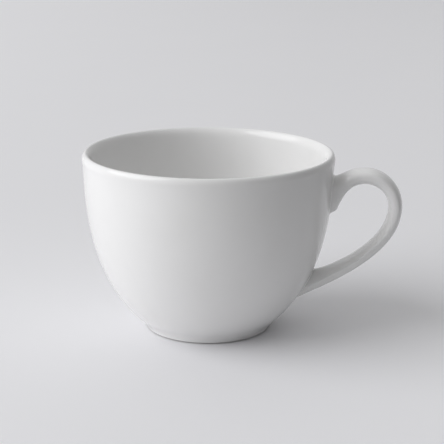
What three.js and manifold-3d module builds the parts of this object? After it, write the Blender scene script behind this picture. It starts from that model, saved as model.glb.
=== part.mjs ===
// A porcelain coffee cup: a bowl on a foot ring, a handle stuck on with slip, and their glaze.
// Millimetres, +Z up. The cup stands on z = 0 and the handle points along +X.
import * as THREE from "three";
import { mergeVertices } from "three/addons/utils/BufferGeometryUtils.js";
import Module from "manifold-3d";

const wasm = await Module();
wasm.setup();

// Bowl sizes, measured over the glaze; angles in degrees
const rimDiameter = 98;
const cupHeight = 70.45;
const footDiameter = 49.6;
const bellyAngle = 39.2; // slope of the side where it leaves the foot
const bellyPull = 33.5; // how far that slope is carried into the belly
const rimLean = 8.1; // outward lean of the side just under the lip
const rimPull = 8.2; // how far that lean is carried down
const lipWidth = 1.25; // from the outside of the lip in to its top
const lipOuterDepth = 1.8; // how far down the outside the lip is rounded
const lipInnerDepth = 3.6; // and down the inside
const lipTopPull = 0.3; // shares of that inside round held level, and held to the wall's slope
const lipWallPull = 0.68;
const lipThickness = 3.5;
const wallThickness = 3.9; // at the foot, thinning evenly to the lip
const floorThickness = 4; // between the recess under the foot and the inside
const floorBlendHeight = 6; // rise of the round between the inside floor and the wall

// Foot ring sizes
const footHeight = 1.7; // from the table up to the corner between the foot and the belly
const footBlend = 5; // how far along the belly that corner is rounded out
const footBandHeight = 0.6; // bare band below the glaze
const footRingWidth = 4.2;
const footBevel = 2.2; // width of the slope under the bare band, in to the standing face
const recessDepth = 2.2;
const recessBandHeight = 0.9; // bare band inside the ring

// Handle sizes, measured over the glaze
const handleReach = 26.2; // from the rim out to the bend of the loop
const handleTopReach = 11.9; // from the rim out to the top of the loop
const handleTopDrop = 5.3; // from the rim's plane down to the top of the loop
const handleBendDrop = 14.85; // from the top of the loop down to its bend
const handleTopThickness = 5.75;
const handleBendThickness = 5.4;
const handleWidth = 11.5;
const edgeSharpness = 1.3; // 1 makes an oval section, more gives it sharper side edges

// Upper root of the handle
const upperRootDrop = 8.9; // from the rim's plane down to the top of the root
const upperRootHeight = 13.1;
const upperRootWidth = 13;
const upperRootLedge = 2.4; // sloping underside between the bowl and the loop
const ledgeSlope = 28;
const upperOuterSlope = 17;
const upperInnerSlope = 68;
const upperOuterPull = 5.7;
const upperInnerPull = 4;
const topOuterPull = 6.6;
const topInnerPull = 6.9;

// Lower root of the handle
const lowerRootRise = 12.1; // from the table up to the bottom of the root
const lowerRootHeight = 11.8;
const lowerRootWidth = 13;
const lowerOuterSlope = 27;
const lowerInnerSlope = 9;
const lowerOuterPull = 13.5;
const lowerInnerPull = 12.2;
const bendOuterPull = 19.8;
const bendInnerPull = 12.7;

// Layers and clearances
const glazeThickness = 0.3;
const slipThickness = 0.5;
const seatGap = 0.3; // left at each face that is cut to fit another piece

// Steps of the round and curved surfaces
const turnSteps = 40;
const footBlendSteps = 3;
const sideSteps = 12;
const lipSteps = 4;
const insideSteps = 8;
const blendSteps = 4;
const recessSteps = 6;
const recessEdgeSteps = 2;
const sectionSteps = 16;
const rootToTopSteps = 5;
const topToBendSteps = 6;
const bendToRootSteps = 10;

const quarterArcPull = 0.5523; // share of a radius that makes a Bezier quarter round
const halvings = 40;

const rimRadius = rimDiameter / 2;
const footRadius = footDiameter / 2;
const recessRadius = footRadius - footRingWidth;
const floorLevel = recessDepth + floorThickness;

function heading(angle) {
  const turn = THREE.MathUtils.degToRad(angle);
  return new THREE.Vector2(Math.cos(turn), Math.sin(turn));
}

function ahead(point, direction, distance) {
  return point.clone().addScaledVector(direction, distance);
}

function evenly(steps, from, to) {
  return Array.from({ length: steps + 1 }, (_, i) => from + ((to - from) * i) / steps);
}

// The input between 0 and 1 where a rising function reaches a level
function inputFor(rising, level) {
  let low = 0;
  let high = 1;
  for (let i = 0; i < halvings; i += 1) {
    const middle = (low + high) / 2;
    if (rising(middle) < level) low = middle;
    else high = middle;
  }
  return (low + high) / 2;
}

// A point of a surface in the (radius, height) plane, with the way out of the material
function surfacePoint(at, out) {
  return { at, out };
}

// A point of a curve that has the material on its left
function curvePoint(curve, t) {
  const along = curve.getTangent(t);
  return surfacePoint(curve.getPoint(t), new THREE.Vector2(along.y, -along.x));
}

function offsetPoints(surface, distance) {
  return surface.map(({ at, out }) => {
    const point = ahead(at, out, distance);
    point.x = at.x === 0 ? 0 : point.x;
    return point;
  });
}

// The outside of the lip, a quarter oval
const lipSpread = new THREE.Vector2(lipWidth, lipOuterDepth);
const lipCentre = new THREE.Vector2(rimRadius, cupHeight).sub(lipSpread);

function lipPoint(angle) {
  const reach = heading(angle);
  const out = new THREE.Vector2(reach.x * lipOuterDepth, reach.y * lipWidth).normalize();
  return surfacePoint(reach.multiply(lipSpread).add(lipCentre), out);
}

// Where the oval leans as much as the side below it
const leanRise = Math.tan(THREE.MathUtils.degToRad(rimLean));
const lipStart = -THREE.MathUtils.radToDeg(Math.atan((leanRise * lipOuterDepth) / lipWidth));

// Side of the bowl, from the foot to the lip
const sideFoot = new THREE.Vector2(footRadius, footHeight);
const sideTop = lipPoint(lipStart).at;
const sideCurve = new THREE.CubicBezierCurve(
  sideFoot,
  ahead(sideFoot, heading(bellyAngle), bellyPull),
  ahead(sideTop, heading(90 - rimLean), -rimPull),
  sideTop,
);

function sidePoint(t) {
  return curvePoint(sideCurve, t);
}

function sideInputAt(height) {
  return inputFor((t) => sideCurve.getPoint(t).y, height);
}

function sideRadiusAt(height) {
  return sideCurve.getPoint(sideInputAt(height)).x;
}

// The hollow round from the foot, where the glaze begins, into the side
const sideStart = sideInputAt(footHeight + footBlend * heading(bellyAngle).y);
const footRound = new THREE.QuadraticBezierCurve(
  new THREE.Vector2(footRadius, footBandHeight),
  sideFoot,
  sideCurve.getPoint(sideStart),
);
const footSurface = evenly(footBlendSteps, 0, 1).map((t) => curvePoint(footRound, t));

// Inside of the bowl, the wall's thickness in from the side
function insidePoint(t) {
  const { at, out } = sidePoint(t);
  const thickness = THREE.MathUtils.lerp(wallThickness, lipThickness, t);
  return surfacePoint(ahead(at, out, -thickness), out.clone().negate());
}

function insideInputAt(height) {
  return inputFor((t) => insidePoint(t).at.y, height);
}

// The whole lip: its outside, then a taller round down to the inside wall
const wallStart = insideInputAt(cupHeight - lipInnerDepth);

function lipPoints() {
  const outer = evenly(lipSteps, lipStart, 90).slice(1).map((angle) => lipPoint(angle));
  const top = new THREE.Vector2(lipCentre.x, cupHeight);
  const { at, out } = insidePoint(wallStart);
  const uphill = new THREE.Vector2(out.y, -out.x);
  const corner = ahead(at, uphill, (cupHeight - at.y) / uphill.y);
  const round = new THREE.CubicBezierCurve(
    top,
    top.clone().lerp(corner, lipTopPull),
    at.clone().lerp(corner, lipWallPull),
    at,
  );
  const inner = evenly(lipSteps, 0, 1).slice(1, -1).map((t) => curvePoint(round, t));
  return [...outer, ...inner];
}

// The round from the wall to the floor, and the middle of the floor
const wallEnd = insideInputAt(floorLevel + floorBlendHeight);

function floorPoints() {
  const { at, out } = insidePoint(wallEnd);
  const downhill = new THREE.Vector2(-out.y, out.x);
  const run = (at.y - floorLevel) / -downhill.y;
  const corner = ahead(at, downhill, run);
  const round = new THREE.QuadraticBezierCurve(at, corner, ahead(corner, heading(180), run));
  const points = evenly(blendSteps, 0, 1).slice(1).map((t) => curvePoint(round, t));
  return [...points, surfacePoint(new THREE.Vector2(0, floorLevel), heading(90))];
}

const sideSurface = evenly(sideSteps, sideStart, 1).map(sidePoint);
const bowlSurface = [
  ...footSurface.slice(0, -1),
  ...sideSurface,
  ...lipPoints(),
  ...evenly(insideSteps, wallStart, wallEnd).map(insidePoint),
  ...floorPoints(),
];

// Recess under the foot, from the axis out to the standing face
const recessCorner = new THREE.Vector2(recessRadius, recessDepth);
const recessCurve = new THREE.CubicBezierCurve(
  new THREE.Vector2(0, recessDepth),
  recessCorner,
  recessCorner,
  new THREE.Vector2(recessRadius, 0),
);
const recessGlazeEnd = inputFor((t) => -recessCurve.getPoint(t).y, -recessBandHeight);
const recessSurface = evenly(recessSteps, 0, recessGlazeEnd).map((t) => curvePoint(recessCurve, t));

// Turning a profile round the bowl's axis
function turned(profile) {
  return new THREE.LatheGeometry(profile, turnSteps).rotateX(Math.PI / 2);
}

function bowlBody() {
  const bisque = offsetPoints(bowlSurface, -glazeThickness);
  const footOutside = bisque[0].x;
  const bevelBottom = new THREE.Vector2(footOutside - footBevel, 0);
  const recess = [
    ...recessSurface.map(({ at }) => at),
    ...evenly(recessEdgeSteps, recessGlazeEnd, 1).slice(1).map((t) => recessCurve.getPoint(t)),
  ];
  return turned([...recess, bevelBottom, ...bisque]);
}

function bowlGlaze() {
  const outer = offsetPoints(bowlSurface, 0);
  const inner = offsetPoints(bowlSurface, -glazeThickness);
  return turned([...inner.reverse(), ...outer]);
}

function recessGlaze() {
  const inner = offsetPoints(recessSurface, 0);
  const outer = offsetPoints(recessSurface, glazeThickness);
  return turned([...outer, ...inner.reverse()]);
}

// The bowl filled solid out to a distance from its glazed side
function filledBowl(distance) {
  const side = offsetPoints(sideSurface, distance);
  const low = new THREE.Vector2(0, side[0].y);
  const high = new THREE.Vector2(0, side[sideSteps].y);
  return solid(turned([low, ...side, high]));
}

// The loop's two edges in the (radius, height) plane, from inside the bowl at the upper root
// to inside it at the lower one
function stretch(start, startPull, endPull, end, steps) {
  const curve = new THREE.CubicBezierCurve(start, startPull, endPull, end);
  return curve.getPoints(steps);
}

function loopEdge({ root, top, bend, foot, ...shape }) {
  const topToBend = bend.x - top.x;
  const bendToTop = top.y - bend.y;
  const rise = stretch(
    root,
    ahead(root, heading(shape.rootSlope), shape.rootPull),
    ahead(top, heading(180), shape.topPull),
    top,
    rootToTopSteps,
  );
  const shoulder = stretch(
    top,
    ahead(top, heading(0), quarterArcPull * topToBend),
    ahead(bend, heading(90), quarterArcPull * bendToTop),
    bend,
    topToBendSteps,
  );
  const fall = stretch(
    bend,
    ahead(bend, heading(-90), shape.bendPull),
    ahead(foot, heading(shape.footSlope), shape.footPull),
    foot,
    bendToRootSteps,
  );
  const sunkRoot = ahead(root, heading(shape.sunkSlope), -rootDepth);
  const sunkFoot = ahead(foot, heading(shape.footSlope), -rootDepth);
  return [sunkRoot, ...rise, ...shoulder.slice(1), ...fall.slice(1), sunkFoot];
}

const loopTop = new THREE.Vector2(rimRadius + handleTopReach, cupHeight - handleTopDrop);
const loopBend = new THREE.Vector2(rimRadius + handleReach, loopTop.y - handleBendDrop);
const upperRootTop = cupHeight - upperRootDrop;
const upperRootBottom = upperRootTop - upperRootHeight;
const lowerRootTop = lowerRootRise + lowerRootHeight;
const rootDepth = upperRootLedge + wallThickness;

const outerEdge = loopEdge({
  root: new THREE.Vector2(sideRadiusAt(upperRootTop), upperRootTop),
  sunkSlope: upperOuterSlope,
  rootSlope: upperOuterSlope,
  rootPull: upperOuterPull,
  top: loopTop,
  topPull: topOuterPull,
  bend: loopBend,
  bendPull: bendOuterPull,
  foot: new THREE.Vector2(sideRadiusAt(lowerRootRise), lowerRootRise),
  footSlope: lowerOuterSlope,
  footPull: lowerOuterPull,
});

const innerEdge = loopEdge({
  root: new THREE.Vector2(sideRadiusAt(upperRootBottom) + upperRootLedge, upperRootBottom),
  sunkSlope: ledgeSlope,
  rootSlope: upperInnerSlope,
  rootPull: upperInnerPull,
  top: ahead(loopTop, heading(-90), handleTopThickness),
  topPull: topInnerPull,
  bend: ahead(loopBend, heading(180), handleBendThickness),
  bendPull: bendInnerPull,
  foot: new THREE.Vector2(sideRadiusAt(lowerRootTop), lowerRootTop),
  footSlope: lowerInnerSlope,
  footPull: lowerInnerPull,
});

// Width of the handle at a ring, widening to each root
const firstRing = 1;
const lastRing = outerEdge.length - 2;

function widthAt(ring) {
  const toTop = THREE.MathUtils.smoothstep(ring, firstRing, firstRing + rootToTopSteps);
  const toFoot = THREE.MathUtils.smoothstep(ring, lastRing - bendToRootSteps, lastRing);
  const upper = THREE.MathUtils.lerp(upperRootWidth, handleWidth, toTop);
  return THREE.MathUtils.lerp(upper, lowerRootWidth, toFoot);
}

// One cross-section of the handle, grown by a distance
function handleRing(ring, grow) {
  const middle = outerEdge[ring].clone().lerp(innerEdge[ring], 0.5);
  const across = outerEdge[ring].clone().sub(innerEdge[ring]);
  const halfThickness = across.length() / 2 + grow;
  const halfWidth = widthAt(ring) / 2 + grow;
  across.normalize();
  return evenly(sectionSteps, 0, 2 * Math.PI).slice(1).map((turn) => {
    const share = Math.sign(Math.cos(turn)) * Math.abs(Math.cos(turn)) ** edgeSharpness;
    const point = ahead(middle, across, halfThickness * share);
    return [point.x, halfWidth * Math.sin(turn), point.y];
  });
}

function handleSolid(grow) {
  const rings = outerEdge.map((_, ring) => handleRing(ring, grow));
  const faces = [];
  const count = rings.length;
  const corner = (ring, step) => ring * sectionSteps + (step % sectionSteps);
  for (let ring = 0; ring + 1 < count; ring += 1) {
    for (let step = 0; step < sectionSteps; step += 1) {
      const [a, b] = [corner(ring, step), corner(ring, step + 1)];
      const [c, d] = [corner(ring + 1, step), corner(ring + 1, step + 1)];
      faces.push(a, d, b, a, c, d);
    }
  }
  for (let step = 1; step + 1 < sectionSteps; step += 1) {
    faces.push(corner(0, 0), corner(0, step), corner(0, step + 1));
    faces.push(corner(count - 1, 0), corner(count - 1, step + 1), corner(count - 1, step));
  }
  const geometry = new THREE.BufferGeometry();
  geometry.setAttribute("position", new THREE.Float32BufferAttribute(rings.flat(2), 3));
  geometry.setIndex(faces);
  return solid(geometry);
}

// Joining and cutting
function solid(geometry) {
  const bare = geometry.clone();
  bare.deleteAttribute("normal");
  bare.deleteAttribute("uv");
  const merged = mergeVertices(bare);
  return new wasm.Manifold(
    new wasm.Mesh({
      numProp: 3,
      vertProperties: new Float32Array(merged.attributes.position.array),
      triVerts: new Uint32Array(merged.index.array),
    }),
  );
}

function geometryOf(made) {
  const { vertProperties, triVerts } = made.getMesh();
  const geometry = new THREE.BufferGeometry();
  geometry.setAttribute("position", new THREE.BufferAttribute(vertProperties, 3));
  geometry.setIndex(new THREE.BufferAttribute(triVerts, 1));
  geometry.computeVertexNormals();
  return geometry;
}

// A block that holds everything between two heights
function layer(low, high) {
  const side = 4 * loopBend.x;
  return solid(new THREE.BoxGeometry(side, side, high - low).translate(0, 0, (low + high) / 2));
}

// Distances from the glazed side at which the layers of a root begin and end
const slipStart = seatGap - glazeThickness;
const slipEnd = slipStart + slipThickness;
const handleBodyStart = slipEnd + seatGap;

const handleCore = handleSolid(-glazeThickness);

function handleBody() {
  return geometryOf(handleCore.subtract(filledBowl(handleBodyStart)));
}

function handleGlaze() {
  return geometryOf(handleSolid(0).subtract(handleCore).subtract(filledBowl(seatGap)));
}

function slipJoint(low, high) {
  const pad = handleCore.intersect(filledBowl(slipEnd)).subtract(filledBowl(slipStart));
  return geometryOf(pad.intersect(layer(low, high)));
}

// The bowl's glaze stops round each root, where the handle was stuck on before glazing.
function bowlGlazeRoundRoots() {
  const roots = handleSolid(seatGap - glazeThickness).subtract(filledBowl(-wallThickness / 2));
  return geometryOf(solid(bowlGlaze()).subtract(roots));
}

function finish(color, roughness) {
  return new THREE.MeshStandardMaterial({ color, roughness, metalness: 0 });
}

const bisqueWhite = 0xe9e4da;
const slipWhite = 0xe2dccf;
const glazeWhite = 0xf1f1ef;
const bisqueRoughness = 0.75;
const glazeRoughness = 0.16;

const betweenRoots = (upperRootBottom + lowerRootTop) / 2;

const pieces = [
  ["bowl_body", bowlBody(), finish(bisqueWhite, bisqueRoughness)],
  ["handle_body", handleBody(), finish(bisqueWhite, bisqueRoughness)],
  ["upper_slip_joint", slipJoint(betweenRoots, cupHeight), finish(slipWhite, bisqueRoughness)],
  ["lower_slip_joint", slipJoint(0, betweenRoots), finish(slipWhite, bisqueRoughness)],
  ["bowl_glaze", bowlGlazeRoundRoots(), finish(glazeWhite, glazeRoughness)],
  ["handle_glaze", handleGlaze(), finish(glazeWhite, glazeRoughness)],
  ["foot_recess_glaze", recessGlaze(), finish(glazeWhite, glazeRoughness)],
];

const cup = new THREE.Group();
for (const [name, geometry, material] of pieces) {
  const mesh = new THREE.Mesh(geometry, material);
  mesh.name = name;
  cup.add(mesh);
}

// The middle of the whole cup's underside is the origin.
const bounds = new THREE.Box3().setFromObject(cup);
const middle = bounds.getCenter(new THREE.Vector3());
cup.position.set(-middle.x, -middle.y, -bounds.min.z);

const part = new THREE.Group();
part.add(cup);

export default part;
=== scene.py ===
import math
import bpy
from mathutils import Matrix, Vector


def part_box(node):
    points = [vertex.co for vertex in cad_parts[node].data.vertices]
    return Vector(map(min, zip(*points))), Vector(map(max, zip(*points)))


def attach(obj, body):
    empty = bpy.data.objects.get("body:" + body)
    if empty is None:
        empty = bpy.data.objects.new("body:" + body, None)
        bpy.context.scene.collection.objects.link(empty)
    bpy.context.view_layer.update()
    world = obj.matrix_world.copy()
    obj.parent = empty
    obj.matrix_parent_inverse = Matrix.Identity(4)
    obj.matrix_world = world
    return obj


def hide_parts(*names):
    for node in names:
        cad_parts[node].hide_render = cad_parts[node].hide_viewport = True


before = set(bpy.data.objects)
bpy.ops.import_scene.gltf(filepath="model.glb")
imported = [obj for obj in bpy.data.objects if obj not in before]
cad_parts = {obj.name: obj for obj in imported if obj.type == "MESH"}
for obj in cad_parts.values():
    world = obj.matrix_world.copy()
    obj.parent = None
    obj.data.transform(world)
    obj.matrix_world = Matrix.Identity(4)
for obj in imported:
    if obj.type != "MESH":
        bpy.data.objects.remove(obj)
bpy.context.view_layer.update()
print("frame loaded with", len(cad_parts), "nodes")

mm = 0.001
tiny = 1e-9  # a length of next to nothing
bowlLow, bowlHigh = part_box("bowl_glaze")
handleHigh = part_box("handle_glaze")[1]
axisX = (bowlLow[0] + bowlHigh[0]) / 2  # the bowl stands off the middle of the frame
rimRadius = (bowlHigh[1] - bowlLow[1]) / 2
cupHeight = bowlHigh[2]
glazeThickness = 0.3 * mm


# small helpers for curves, most of them in the (radius, height) plane

def heading(degrees):
    turn = math.radians(degrees)
    return Vector((math.cos(turn), math.sin(turn)))


def leftOf(direction):
    return Vector((-direction.y, direction.x))


def rightOf(direction):
    return Vector((direction.y, -direction.x))


def mix(a, b, share):
    return a + (b - a) * share


def easeInOut(value):
    value = min(max(value, 0.0), 1.0)
    return value * value * (3 - 2 * value)


def evenly(steps, start=0.0, end=1.0):
    return [mix(start, end, i / steps) for i in range(steps + 1)]


def shareWhere(rising, level, halvings=40):
    # the share, from 0 to 1, at which a rising function comes to the level
    low, high = 0.0, 1.0
    for _ in range(halvings):
        middle = (low + high) / 2
        if rising(middle) < level:
            low = middle
        else:
            high = middle
    return (low + high) / 2


def bezier(points, t):
    points = list(points)
    while len(points) > 1:
        points = [a.lerp(b, t) for a, b in zip(points, points[1:])]
    return points[0]


def bezierPoints(points, steps):
    return [bezier(points, t) for t in evenly(steps)]


def bezierHeading(points, t):
    steps = [b - a for a, b in zip(points, points[1:])]
    return bezier(steps, t).normalized()


# a surface point is a place and the way out of the material there
def surfacePoint(curve, t):
    return bezier(curve, t), rightOf(bezierHeading(curve, t))


def surfacePoints(curve, steps, end=1.0):
    return [surfacePoint(curve, t) for t in evenly(steps, 0, end)]


def onAxis(point):
    return point.x < tiny


def offset(surface, distance):
    moved = []
    for at, out in surface:
        if onAxis(at):
            moved.append(Vector((0, at.y + out.y * distance)))
        else:
            moved.append(at + out * distance)
    return moved


# object and mesh builders

def addObject(name, data):
    made = bpy.data.objects.new(name, data)
    bpy.context.collection.objects.link(made)
    return made


def makePiece(name, verts, faces, material, slot, *nodes):
    mesh = bpy.data.meshes.new(name)
    mesh.from_pydata([tuple(v) for v in verts], [], faces)
    mesh.validate()
    mesh.polygons.foreach_set("use_smooth", [True] * len(mesh.polygons))
    mesh.materials.append(material)
    piece = addObject(name, mesh)
    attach(piece, "root")
    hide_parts(*nodes)
    print("made", name, "with", len(mesh.polygons), "faces")


def revolve(profile, steps):
    # profile runs anticlockwise round the material and closes on itself or on the axis
    verts, rows = [], []
    for point in profile:
        if onAxis(point):
            rows.append([len(verts)] * steps)
            verts.append(Vector((axisX, 0, point.y)))
            continue
        rows.append([len(verts) + i for i in range(steps)])
        for i in range(steps):
            turn = 2 * math.pi * i / steps
            verts.append(Vector((axisX + point.x * math.cos(turn), point.x * math.sin(turn), point.y)))
    if not onAxis(profile[0]):
        rows.append(rows[0])
    faces = []
    for low, high in zip(rows, rows[1:]):
        for i in range(steps):
            j = (i + 1) % steps
            face = [low[i], low[j], high[j], high[i]]
            face = [v for k, v in enumerate(face) if v not in face[:k]]  # a triangle at the axis
            if len(face) > 2:
                faces.append(face)
    return verts, faces


# shader helpers
noiseRange = (0.3, 0.7)  # where most of a noise's values lie


def newMaterial(name):
    material = bpy.data.materials.new(name)
    material.use_nodes = True
    tree = material.node_tree
    tree.nodes.clear()
    output = tree.nodes.new("ShaderNodeOutputMaterial")
    shader = tree.nodes.new("ShaderNodeBsdfPrincipled")
    tree.links.new(shader.outputs["BSDF"], output.inputs["Surface"])
    return material, tree, shader


def addNoise(tree, scale, detail, roughness=0.5):
    place = tree.nodes.new("ShaderNodeTexCoord")
    noise = tree.nodes.new("ShaderNodeTexNoise")
    noise.inputs["Scale"].default_value = scale
    noise.inputs["Detail"].default_value = detail
    noise.inputs["Roughness"].default_value = roughness
    tree.links.new(place.outputs["Object"], noise.inputs["Vector"])
    return noise.outputs["Fac"]


def addRamp(tree, source, positions, colours):
    ramp = tree.nodes.new("ShaderNodeValToRGB")
    for element, position, colour in zip(ramp.color_ramp.elements, positions, colours):
        element.position = position
        element.color = (*colour, 1)
    tree.links.new(source, ramp.inputs["Fac"])
    return ramp.outputs["Color"]


def addRange(tree, source, low, high, fromRange=noiseRange):
    ranged = tree.nodes.new("ShaderNodeMapRange")
    ranged.inputs["From Min"].default_value = fromRange[0]
    ranged.inputs["From Max"].default_value = fromRange[1]
    ranged.inputs["To Min"].default_value = low
    ranged.inputs["To Max"].default_value = high
    tree.links.new(source, ranged.inputs["Value"])
    return ranged.outputs["Result"]


def addMath(tree, sources, operation="ADD"):
    total = sources[0]
    for source in sources[1:]:
        both = tree.nodes.new("ShaderNodeMath")
        both.operation = operation
        tree.links.new(total, both.inputs[0])
        tree.links.new(source, both.inputs[1])
        total = both.outputs["Value"]
    return total


def addBump(tree, source, distance, strength, before=None):
    bump = tree.nodes.new("ShaderNodeBump")
    bump.inputs["Distance"].default_value = distance
    bump.inputs["Strength"].default_value = strength
    tree.links.new(source, bump.inputs["Height"])
    if before is not None:
        tree.links.new(before, bump.inputs["Normal"])
    return bump.outputs["Normal"]


# white glaze: faint clouds in the colour, a soft orange peel, and a gloss that varies a little
glazeFinish = {
    "thin": (0.838, 0.835, 0.828),
    "thick": (0.862, 0.859, 0.855),
    "clouds": (38, 3),  # scale and detail of each noise
    "gloss": (110, 2),
    "wave": (60, 1),
    "peel": (420, 2),
    "roughness": (0.10, 0.14),
    "waveDepth": 0.02 * mm,
    "peelDepth": 0.004 * mm,
    "bumpStrength": 0.5,
    "refraction": 1.5,
}


def makeGlaze(name, finish):
    material, tree, shader = newMaterial(name)
    clouds = addNoise(tree, *finish["clouds"])
    colour = addRamp(tree, clouds, noiseRange, (finish["thin"], finish["thick"]))
    tree.links.new(colour, shader.inputs["Base Color"])
    gloss = addRange(tree, addNoise(tree, *finish["gloss"]), *finish["roughness"])
    tree.links.new(gloss, shader.inputs["Roughness"])
    wave = addNoise(tree, *finish["wave"])
    waved = addBump(tree, wave, finish["waveDepth"], finish["bumpStrength"])
    peel = addNoise(tree, *finish["peel"])
    peeled = addBump(tree, peel, finish["peelDepth"], finish["bumpStrength"], waved)
    tree.links.new(peeled, shader.inputs["Normal"])
    shader.inputs["IOR"].default_value = finish["refraction"]
    return material


# bare fired clay: warmer, matt and finely grained
bisqueFinish = {
    "pale": (0.76, 0.74, 0.71),
    "dark": (0.64, 0.62, 0.59),
    "clouds": (140, 5, 0.65),  # scale, detail and roughness of each noise
    "cloudRange": (0.3, 0.62),  # from dark to pale
    "grain": (1600, 3, 0.7),
    "roughness": (0.72, 0.9),
    "grainDepth": 0.02 * mm,
    "bumpStrength": 0.6,
}
# joining slip: the same clay, yellower
slipFinish = bisqueFinish | {
    "pale": (0.74, 0.70, 0.63),
    "dark": (0.60, 0.56, 0.50),
}


def makeBisque(name, finish):
    material, tree, shader = newMaterial(name)
    clouds = addNoise(tree, *finish["clouds"])
    colour = addRamp(tree, clouds, finish["cloudRange"], (finish["dark"], finish["pale"]))
    tree.links.new(colour, shader.inputs["Base Color"])
    grain = addNoise(tree, *finish["grain"])
    tree.links.new(addRange(tree, grain, *finish["roughness"]), shader.inputs["Roughness"])
    grained = addBump(tree, grain, finish["grainDepth"], finish["bumpStrength"])
    tree.links.new(grained, shader.inputs["Normal"])
    return material


whiteGlaze = makeGlaze("whiteGlaze", glazeFinish)
bareBisque = makeBisque("bareBisque", bisqueFinish)
joiningSlip = makeBisque("joiningSlip", slipFinish)
print("materials ready")


# bowl, measured over the glaze; angles are in degrees
bowl = {
    "footRadius": 24.8 * mm,
    "footHeight": 1.7 * mm,  # from the table up to the corner between the foot and the belly
    "footBlend": 5 * mm,  # how far along the belly that corner is rounded out
    "bareBand": 0.6 * mm,  # the glaze stops this far above the table
    "bellyAngle": 39.2,  # slope of the side where it leaves the foot
    "bellyPull": 33.5 * mm,  # how far that slope is carried into the belly
    "rimLean": 8.1,  # outward lean of the side just under the lip
    "rimPull": 8.2 * mm,  # how far that lean is carried down
    "lipWidth": 1.45 * mm,  # from the outside in to the lip's top
    "lipDepths": (2.4 * mm, 3.4 * mm),  # how far down the outside and the inside it is rounded
    "lipPulls": (0.3, 0.68),  # shares of the inside round held level, and held to the wall's slope
    "wallAtLip": 3.5 * mm,
    "wallAtFoot": 3.9 * mm,
    "floorLevel": 6.2 * mm,
    "floorBlend": 6 * mm,  # rise of the round between the inside floor and the wall
    "floorRings": (0.66, 0.33, 0),  # shares of the flat floor's radius
    "turnSteps": 176,
    "edgeSteps": 6,
    "footSteps": 8,
    "sideSteps": 56,
    "lipSteps": 10,
    "insideSteps": 48,
    "blendSteps": 14,
}
lipSpread = Vector((bowl["lipWidth"], bowl["lipDepths"][0]))
lipCentre = Vector((rimRadius, cupHeight)) - lipSpread


def lipPoint(angle):
    reach = heading(angle)
    out = Vector((reach.x * lipSpread.y, reach.y * lipSpread.x)).normalized()
    return lipCentre + reach * lipSpread, out


# the side runs up to where the lip's oval has the same lean
leanRise = math.tan(math.radians(bowl["rimLean"]))
lipStart = -math.degrees(math.atan(leanRise * lipSpread.y / lipSpread.x))
sideFoot = Vector((bowl["footRadius"], bowl["footHeight"]))
sideTop = lipPoint(lipStart)[0]
sideCurve = [
    sideFoot,
    sideFoot + heading(bowl["bellyAngle"]) * bowl["bellyPull"],
    sideTop - heading(90 - bowl["rimLean"]) * bowl["rimPull"],
    sideTop,
]


def sidePoint(t):
    return surfacePoint(sideCurve, t)


def sideShareAt(height):
    return shareWhere(lambda t: bezier(sideCurve, t).y, height)


def sideRadiusAt(height):
    return bezier(sideCurve, sideShareAt(height)).x


def insidePoint(t):
    at, out = sidePoint(t)
    return at - out * mix(bowl["wallAtFoot"], bowl["wallAtLip"], t), -out


def insideShareAt(height):
    return shareWhere(lambda t: insidePoint(t)[0].y, height)


def lipPoints(insideStart):
    outer = [lipPoint(angle) for angle in evenly(bowl["lipSteps"], lipStart, 90)]
    top = outer[-1][0]
    end, out = insidePoint(insideStart)
    corner = end + rightOf(out) * ((top.y - end.y) / rightOf(out).y)
    topPull, wallPull = bowl["lipPulls"]
    inner = [top, mix(top, corner, topPull), mix(end, corner, wallPull), end]
    return outer[1:] + surfacePoints(inner, bowl["lipSteps"])[1:]


def floorPoints(start, out):
    downhill = leftOf(out)
    run = (start.y - bowl["floorLevel"]) / -downhill.y
    corner = start + downhill * run
    blend = surfacePoints([start, corner, corner - Vector((run, 0))], bowl["blendSteps"])
    reach = blend[-1][0].x
    flat = [Vector((reach * share, bowl["floorLevel"])) for share in bowl["floorRings"]]
    return blend[1:] + [(point, heading(90)) for point in flat]


def bowlSurface():
    # from the glaze's edge at the foot, up the outside, over the lip and down to the middle of the floor
    blendEnd = sideShareAt(bowl["footHeight"] + bowl["footBlend"] * heading(bowl["bellyAngle"]).y)
    side = [sidePoint(t) for t in evenly(bowl["sideSteps"], blendEnd, 1)]
    insideStart = insideShareAt(cupHeight - bowl["lipDepths"][1])
    insideEnd = insideShareAt(bowl["floorLevel"] + bowl["floorBlend"])
    inside = [insidePoint(t) for t in evenly(bowl["insideSteps"], insideStart, insideEnd)]
    glazeEdge = Vector((bowl["footRadius"], bowl["bareBand"]))
    footRound = surfacePoints([glazeEdge, sideFoot, side[0][0]], bowl["footSteps"])
    return footRound + side[1:] + lipPoints(insideStart) + inside[1:] + floorPoints(*inside[-1])


glazed = bowlSurface()
glazeOuter = offset(glazed, 0)
glazeInner = offset(glazed, -glazeThickness)
# the wiped edge of the glaze is rolled under, half a thickness round
edgeMiddle = (glazeOuter[0] + glazeInner[0]) / 2
edgeAngles = evenly(bowl["edgeSteps"], 180, 360)[1:-1]
rolledEdge = [edgeMiddle + heading(angle) * glazeThickness / 2 for angle in edgeAngles]
verts, faces = revolve(glazeInner[::-1] + rolledEdge + glazeOuter, bowl["turnSteps"])
makePiece("glazedBowl", verts, faces, whiteGlaze, "glaze", "bowl_glaze")


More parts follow.
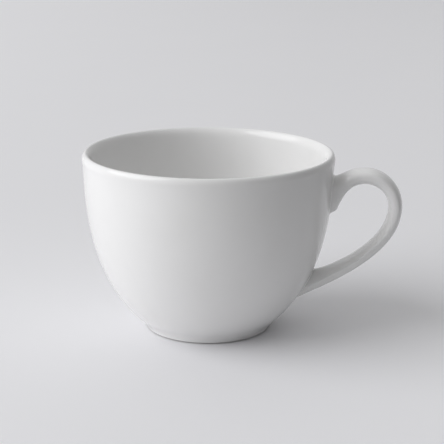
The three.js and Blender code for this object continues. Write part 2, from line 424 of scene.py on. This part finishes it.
# foot ring, recess and the bare bowl under the glaze
foot = {
    "ringWidth": 4.2 * mm,
    "bevel": 2.2 * mm,  # width of the slope from the bare band in to the standing face
    "bevelPull": 0.7,  # share of that width that holds it to the table's level
    "recessDepth": 2.2 * mm,
    "recessBare": 0.9 * mm,  # bare band inside the ring
    "bevelSteps": 6,
    "recessSteps": 30,
}
recessRadius = bowl["footRadius"] - foot["ringWidth"]
recessCorner = Vector((recessRadius, foot["recessDepth"]))
recessCurve = [Vector((0, foot["recessDepth"])), recessCorner, recessCorner, Vector((recessRadius, 0))]
bevelTop = glazeInner[0]
bevelBottom = Vector((bevelTop.x - foot["bevel"], 0))
bevelPull = Vector((foot["bevel"] * foot["bevelPull"], 0))
bevel = bezierPoints([bevelBottom, bevelBottom + bevelPull, bevelTop], foot["bevelSteps"])
recess = bezierPoints(recessCurve, foot["recessSteps"])
verts, faces = revolve(recess + bevel[:-1] + glazeInner, bowl["turnSteps"])
makePiece("bareBowl", verts, faces, bareBisque, "bisque", "bowl_body")

recessEnd = shareWhere(lambda t: -bezier(recessCurve, t).y, -foot["recessBare"])
recessSurface = surfacePoints(recessCurve, foot["recessSteps"], recessEnd)
recessProfile = offset(recessSurface, glazeThickness) + offset(recessSurface, 0)[::-1]
verts, faces = revolve(recessProfile, bowl["turnSteps"])
makePiece("glazedRecess", verts, faces, whiteGlaze, "glaze", "foot_recess_glaze")


# handle: an oval section swept between an outer and an inner edge, flowing into the bowl at both roots
# where slopes, pulls and fillets are pairs, the first is the outer edge's and the second the inner edge's
handle = {
    "topReach": 11.9 * mm,  # from the rim out to the top of the loop
    "topDrop": 5.3 * mm,  # from the rim's plane down to the top of the loop
    "topPulls": (6.6 * mm, 6.9 * mm),
    "bendDrop": 14.85 * mm,  # from the top of the loop down to its bend
    "bendPulls": (19.8 * mm, 12.7 * mm),
    "thicknesses": (5.75 * mm, 5.4 * mm),  # at the top and at the bend
    "width": 11.5 * mm,
    "edgeSharpness": (0.7, 1.5),  # over the top and down the leg; 1 makes an oval, more makes it keener
    "ridgeShift": 0.4,  # share of the half thickness that the leg's ridge lies nearer the inner edge
    "ridgeGrowth": 0.5,  # share of the leg over which the ridge comes
    "ridgeFade": 0.3,  # and over which its shift goes again, at the root
    "upperDrop": 8.9 * mm,  # from the rim's plane down to the top of the upper root
    "upperHeight": 13.1 * mm,
    "upperWidth": 13 * mm,
    "upperLedge": 2.4 * mm,  # sloping underside between the bowl and the loop
    "ledgeSlope": 28,
    "upperSlopes": (17, 68),
    "upperPulls": (5.7 * mm, 4.0 * mm),
    "upperFillets": (1.2 * mm, 1.0 * mm),
    "lowerRise": 12.1 * mm,  # from the table up to the bottom of the lower root
    "lowerHeight": 11.8 * mm,
    "lowerWidth": 13 * mm,
    "lowerSlopes": (27, 9),
    "lowerPulls": (13.5 * mm, 12.2 * mm),
    "lowerFillets": (0.4 * mm, 1.2 * mm),
    "skirtReach": 1.35,  # the buried edge of a root lies this many fillets out
    "skirtSink": 0.25 * mm,  # and this deep in the bowl
    "capSink": 1.2 * mm,  # and the point that closes it this deep
    "bareStart": 0.9 * mm,  # the bare handle stops this far from the bowl, on its joining slip
    "softenRounds": 5,
    "riseSteps": 28,
    "shoulderSteps": 28,
    "fallSteps": 56,
    "sectionSteps": 56,
    "rootRings": 16,
    "rootSteps": 34,
    "filletSteps": 7,
}
quarterPull = 0.5523  # share of a radius that makes a quarter round
loopTop = Vector((rimRadius + handle["topReach"], cupHeight - handle["topDrop"]))
loopBend = Vector((handleHigh[0] - axisX, loopTop.y - handle["bendDrop"]))
upperTop = cupHeight - handle["upperDrop"]
upperBottom = upperTop - handle["upperHeight"]
lowerTop = handle["lowerRise"] + handle["lowerHeight"]


def rootPoint(height, stand=0.0):
    return Vector((sideRadiusAt(height) + stand, height))


def loopEdge(side, root, top, bend, end):
    # side 0 is the outer edge and side 1 the inner edge
    rootPull = heading(handle["upperSlopes"][side]) * handle["upperPulls"][side]
    topPull = Vector((handle["topPulls"][side], 0))
    bendPull = Vector((0, handle["bendPulls"][side]))
    endPull = heading(handle["lowerSlopes"][side]) * handle["lowerPulls"][side]
    roundOut = Vector(((bend.x - top.x) * quarterPull, 0))
    roundUp = Vector((0, (top.y - bend.y) * quarterPull))
    rise = bezierPoints([root, root + rootPull, top - topPull, top], handle["riseSteps"])
    shoulder = bezierPoints([top, top + roundOut, bend + roundUp, bend], handle["shoulderSteps"])
    fall = bezierPoints([bend, bend - bendPull, end + endPull, end], handle["fallSteps"])
    return rise + shoulder[1:] + fall[1:]


outerEdge = loopEdge(0, rootPoint(upperTop), loopTop, loopBend, rootPoint(handle["lowerRise"]))
innerEdge = loopEdge(
    1,
    rootPoint(upperBottom, handle["upperLedge"]),
    loopTop - Vector((0, handle["thicknesses"][0])),
    loopBend - Vector((handle["thicknesses"][1], 0)),
    rootPoint(lowerTop),
)
lastRing = len(outerEdge) - 1


def legShare(ring):
    # 0 at the bend and 1 at the lower root
    return (ring - lastRing) / handle["fallSteps"] + 1


def widthAt(ring):
    upper = mix(handle["upperWidth"], handle["width"], easeInOut(ring / handle["riseSteps"]))
    return mix(upper, handle["lowerWidth"], easeInOut(legShare(ring)))


def ridgeGrown(ring):
    return easeInOut(legShare(ring) / handle["ridgeGrowth"])


def ridgeShiftAt(ring):
    stays = easeInOut((1 - legShare(ring)) / handle["ridgeFade"])
    return handle["ridgeShift"] * ridgeGrown(ring) * stays


def sectionPoints(outer, inner, ring, inset):
    middle = (outer + inner) / 2
    across = (outer - inner) / 2
    across -= across.normalized() * inset
    halfWidth = widthAt(ring) / 2 - inset
    sharpness = mix(*handle["edgeSharpness"], ridgeGrown(ring))
    shift = ridgeShiftAt(ring)
    points = []
    for i in range(handle["sectionSteps"]):
        turn = 2 * math.pi * i / handle["sectionSteps"]
        reach = math.copysign(abs(math.cos(turn)) ** sharpness, math.cos(turn))
        flat = middle + across * (reach - shift * (1 - reach * reach))
        points.append(Vector((flat.x, halfWidth * math.sin(turn), flat.y)))
    return points


def handleRings(inset):
    return [sectionPoints(outerEdge[i], innerEdge[i], i, inset) for i in range(lastRing + 1)]


def sunkRing(ring, outerSlope, innerSlope, inset):
    # the section carried on into the bowl, well past the wall
    depth = 2 * bowl["wallAtFoot"]
    outer = outerEdge[ring] - heading(outerSlope) * depth
    inner = innerEdge[ring] - heading(innerSlope) * depth
    return sectionPoints(outer, inner, ring, inset)


def rootGenerators(rings, inset):
    # lines along the handle from the loop into the bowl, at the upper and at the lower root
    near = handle["rootRings"]
    upperSunk = sunkRing(0, handle["upperSlopes"][0], handle["ledgeSlope"], inset)
    lowerSunk = sunkRing(lastRing, *handle["lowerSlopes"], inset)
    upper = rings[near::-1] + [upperSunk]
    lower = rings[-near - 1:] + [lowerSunk]
    return list(zip(*upper)), list(zip(*lower))


def standOff(point):
    return math.hypot(point.x, point.y) - sideRadiusAt(point.z)


def onBowl(point, sink=0.0):
    radius = sideRadiusAt(point.z) - sink
    scale = radius / math.hypot(point.x, point.y)
    return Vector((point.x * scale, point.y * scale, point.z))


def bowlNormal(point):
    out = sidePoint(sideShareAt(point.z))[1]
    flat = Vector((point.x, point.y, 0)).normalized()
    return flat * out.x + Vector((0, 0, out.y))


def cutAtBowl(points, stand=0.0):
    # points run from the loop into the bowl; the last one kept lies on the bowl or stands off it
    kept = [points[0]]
    for a, b in zip(points, points[1:]):
        if standOff(b) > stand:
            kept.append(b)
            continue
        cut = shareWhere(lambda t: -standOff(a.lerp(b, t)), -stand)
        kept.append(a.lerp(b, cut))
        break
    return kept


def resample(points, steps):
    # the same path with its points spaced evenly
    reach = [0.0]
    for a, b in zip(points, points[1:]):
        reach.append(reach[-1] + (b - a).length)
    made, k = [], 0
    for share in evenly(steps):
        wanted = share * reach[-1]
        while k < len(points) - 2 and reach[k + 1] < wanted:
            k += 1
        span = max(reach[k + 1] - reach[k], tiny)
        made.append(points[k].lerp(points[k + 1], min((wanted - reach[k]) / span, 1)))
    return made


def soften(points):
    for _ in range(handle["softenRounds"]):
        inner = [(a + b * 2 + c) / 4 for a, b, c in zip(points, points[1:], points[2:])]
        points = [points[0]] + inner + [points[-1]]
    return points


def pointAlong(points, distance):
    # points run from the bowl outwards
    for k, (a, b) in enumerate(zip(points, points[1:])):
        step = (b - a).length
        if step >= distance:
            return k + 1, a.lerp(b, distance / step)
        distance -= step
    return len(points) - 1, points[-1]


# a root is its rings, from the bowl outwards, and the point that closes it
def glazedRoot(generators, fillets):
    count = len(generators)
    paths = [soften(resample(cutAtBowl(line), handle["rootSteps"]))[::-1] for line in generators]
    contour = [path[0] for path in paths]
    middle = sum(contour, Vector()) / count
    columns = []
    for i, path in enumerate(paths):
        along = contour[(i + 1) % count] - contour[i - 1]
        away = along.cross(bowlNormal(contour[i])).normalized()
        if away.dot(contour[i] - middle) < 0:
            away = -away
        fillet = mix(fillets[1], fillets[0], (1 + math.cos(2 * math.pi * i / count)) / 2)
        skirt = onBowl(contour[i] + away * fillet)
        buried = onBowl(contour[i] + away * fillet * handle["skirtReach"], handle["skirtSink"])
        first, start = pointAlong(path, fillet)
        curve = bezierPoints([skirt, contour[i], start], handle["filletSteps"])
        rest = resample([start] + path[first:], handle["rootSteps"])
        columns.append([buried] + curve + rest[1:])
    rings = [list(ring) for ring in zip(*columns)]
    return rings, onBowl(middle, handle["capSink"])


def bareRoot(generators):
    cut = [cutAtBowl(line, handle["bareStart"]) for line in generators]
    paths = [resample(line, handle["rootSteps"])[::-1] for line in cut]
    rings = [list(ring) for ring in zip(*paths)]
    return rings, sum(rings[0], Vector()) / len(paths)


def handleMesh(rings, upperRoot, lowerRoot):
    upper, upperCap = upperRoot
    lower, lowerCap = lowerRoot
    near = handle["rootRings"]
    allRings = upper + rings[near + 1:-near - 1] + lower[::-1]
    toAxis = Vector((axisX, 0, 0))
    verts = [point + toAxis for ring in allRings for point in ring]
    faces = []
    steps = handle["sectionSteps"]
    lastStart = (len(allRings) - 1) * steps
    for low in range(0, lastStart, steps):
        high = low + steps
        for i in range(steps):
            j = (i + 1) % steps
            faces.append([low + i, high + i, high + j, low + j])
    for start, cap, turned in ((0, upperCap, False), (lastStart, lowerCap, True)):
        verts.append(cap + toAxis)
        for i in range(steps):
            corner = [start + i, start + (i + 1) % steps, len(verts) - 1]
            faces.append(corner[::-1] if turned else corner)
    return verts, faces


rings = handleRings(0)
upperLines, lowerLines = rootGenerators(rings, 0)
upperRoot = glazedRoot(upperLines, handle["upperFillets"])
lowerRoot = glazedRoot(lowerLines, handle["lowerFillets"])
verts, faces = handleMesh(rings, upperRoot, lowerRoot)
makePiece("glazedHandle", verts, faces, whiteGlaze, "glaze", "handle_glaze")

rings = handleRings(glazeThickness)
upperLines, lowerLines = rootGenerators(rings, glazeThickness)
verts, faces = handleMesh(rings, bareRoot(upperLines), bareRoot(lowerLines))
makePiece("bareHandle", verts, faces, bareBisque, "bisque", "handle_body")


# the pads of joining slip keep their own solids
for name in ("upper_slip_joint", "lower_slip_joint"):
    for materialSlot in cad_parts[name].material_slots:
        materialSlot.material = joiningSlip
print("joining slip finished")


# table top
table = {
    "near": 0.26,  # how far the top reaches towards the camera, and so on
    "right": 0.28,
    "far": 4.0,
    "left": 4.0,
    "edgeFade": 0.1,  # the near and right edges thin out over this width
    "pale": (0.93, 0.928, 0.947),
    "dark": (0.825, 0.823, 0.84),
    "nearLightFade": (-0.13, 0.2),  # painted light: paler towards the near edge, where the window's light falls more, between these depths
    "nearLightShare": 0.38,
    "leftLightFade": (-0.46, 0.0),  # painted light: and paler towards the left, on the window's side
    "leftLightShare": 0.58,
    "mottle": (9, 4),  # scale and detail of the noise
    "mottleShare": 0.04,
    "roughness": 0.7,
}


def makeTable():
    near, right, far, left = -table["near"], table["right"], table["far"], -table["left"]
    corners = [(left, near, 0), (right, near, 0), (right, far, 0), (left, far, 0)]
    mesh = bpy.data.meshes.new("tableTop")
    mesh.from_pydata(corners, [], [[0, 1, 2, 3]])
    material, tree, shader = newMaterial("paleTable")
    place = tree.nodes.new("ShaderNodeSeparateXYZ")
    tree.links.new(tree.nodes.new("ShaderNodeTexCoord").outputs["Object"], place.inputs["Vector"])
    # painted light: the near and left ramps lighten the table where the window lights it more; the noise
    # mottle is the table's own random tone
    paintedLightAndMottle = addMath(tree, [
        addRange(tree, place.outputs["Y"], table["nearLightShare"], 0, table["nearLightFade"]),
        addRange(tree, place.outputs["X"], table["leftLightShare"], 0, table["leftLightFade"]),
        addRange(tree, addNoise(tree, *table["mottle"]), 0, table["mottleShare"]),
    ])
    tone = addRamp(tree, paintedLightAndMottle, (0, 1), (table["dark"], table["pale"]))
    tree.links.new(tone, shader.inputs["Base Color"])
    solid = addMath(tree, [
        addRange(tree, place.outputs["Y"], 0, 1, (near, near + table["edgeFade"])),
        addRange(tree, place.outputs["X"], 1, 0, (right - table["edgeFade"], right)),
    ], "MULTIPLY")
    tree.links.new(solid, shader.inputs["Alpha"])
    shader.inputs["Roughness"].default_value = table["roughness"]
    mesh.materials.append(material)
    top = addObject("tableTop", mesh)


makeTable()
print("table laid")


# camera; angles are in degrees, and azimuths run from the front round to the right
camera = {
    "azimuth": 6.0,
    "elevation": 15.2,
    "roll": 0.27,
    "distance": 504.9 * mm,
    "fieldOfView": 19.62,
    "aimRight": 5.29 * mm,
    "aimHeight": 41.84 * mm,
    "clip": (0.01, 50),
}


def towards(azimuth, elevation):
    a, e = math.radians(azimuth), math.radians(elevation)
    return Vector((math.sin(a) * math.cos(e), -math.cos(a) * math.cos(e), math.sin(e)))


def makeCamera():
    lens = bpy.data.cameras.new("view")
    lens.sensor_fit = "HORIZONTAL"
    lens.angle = math.radians(camera["fieldOfView"])
    lens.clip_start, lens.clip_end = camera["clip"]
    view = addObject("view", lens)
    back = towards(camera["azimuth"], camera["elevation"])
    right = towards(camera["azimuth"] + 90, 0)
    up = back.cross(right)
    aim = Vector((axisX, 0, camera["aimHeight"])) + right * camera["aimRight"]
    turn = Matrix.Rotation(math.radians(camera["roll"]), 3, back)
    columns = Matrix((turn @ right, turn @ up, back)).transposed()
    view.matrix_world = Matrix.Translation(aim + back * camera["distance"]) @ columns.to_4x4()
    bpy.context.scene.camera = view


makeCamera()
print("camera set")


# one broad soft window on the left
light = {
    "azimuth": -78,  # from the camera's side
    "elevation": 36,
    "distance": 5.0,
    "size": 5.1,
    "power": 161,
    "colour": (0.985, 0.99, 1.01),
}


def makeWindow():
    lamp = bpy.data.lights.new("window", "AREA")
    lamp.shape = "DISK"
    lamp.size = light["size"]
    lamp.energy = light["power"]
    lamp.color = light["colour"]
    window = addObject("window", lamp)
    back = towards(camera["azimuth"] + light["azimuth"], light["elevation"])
    window.location = Vector((axisX, 0, cupHeight / 2)) + back * light["distance"]
    window.rotation_euler = back.to_track_quat("Z", "Y").to_euler()


# a room that is pale above and behind, with a low glow beside the window
room = {
    "glows": {  # azimuth from the camera's side, elevation, how narrow it is, and strength
        "ceiling": (0, 90, 2, 0.62),
        "backWall": (180, 0, 2, 0.69),
        "besideWindow": (-60, 0, 6, 1.9),
        "rightWall": (90, 30, 4, 0.06),
    },
    "seen": (0.55, 0.55, 0.56),  # the tone that shows past the table and in the gloss
}


def addGlow(tree, place, azimuth, elevation, focus, strength):
    # strongest straight along its direction, and gone at right angles to it
    facing = tree.nodes.new("ShaderNodeVectorMath")
    facing.operation = "DOT_PRODUCT"
    facing.inputs[1].default_value = towards(camera["azimuth"] + azimuth, elevation)
    tree.links.new(place, facing.inputs[0])
    glow = facing.outputs["Value"]
    for operation, value in (("MAXIMUM", 0), ("POWER", focus), ("MULTIPLY", strength)):
        step = tree.nodes.new("ShaderNodeMath")
        step.operation = operation
        step.inputs[1].default_value = value
        tree.links.new(glow, step.inputs[0])
        glow = step.outputs["Value"]
    return glow


def makeRoom():
    world = bpy.data.worlds.new("room")
    bpy.context.scene.world = world
    world.use_nodes = True
    tree = world.node_tree
    tree.nodes.clear()
    place = tree.nodes.new("ShaderNodeTexCoord").outputs["Generated"]
    glows = [addGlow(tree, place, *glow) for glow in room["glows"].values()]
    lit = tree.nodes.new("ShaderNodeBackground")
    tree.links.new(addMath(tree, glows), lit.inputs["Strength"])
    lit.inputs["Color"].default_value = (1, 1, 1, 1)
    seen = tree.nodes.new("ShaderNodeBackground")
    seen.inputs["Color"].default_value = (*room["seen"], 1)
    path = tree.nodes.new("ShaderNodeLightPath")
    choose = tree.nodes.new("ShaderNodeMixShader")
    output = tree.nodes.new("ShaderNodeOutputWorld")
    rays = ("Is Camera Ray", "Is Glossy Ray", "Is Transmission Ray")
    shown = addMath(tree, [path.outputs[ray] for ray in rays])
    tree.links.new(shown, choose.inputs["Fac"])
    tree.links.new(lit.outputs["Background"], choose.inputs[1])
    tree.links.new(seen.outputs["Background"], choose.inputs[2])
    tree.links.new(choose.outputs["Shader"], output.inputs["Surface"])


makeWindow()
makeRoom()
bpy.context.scene.view_settings.view_transform = "Standard"
print("light set")
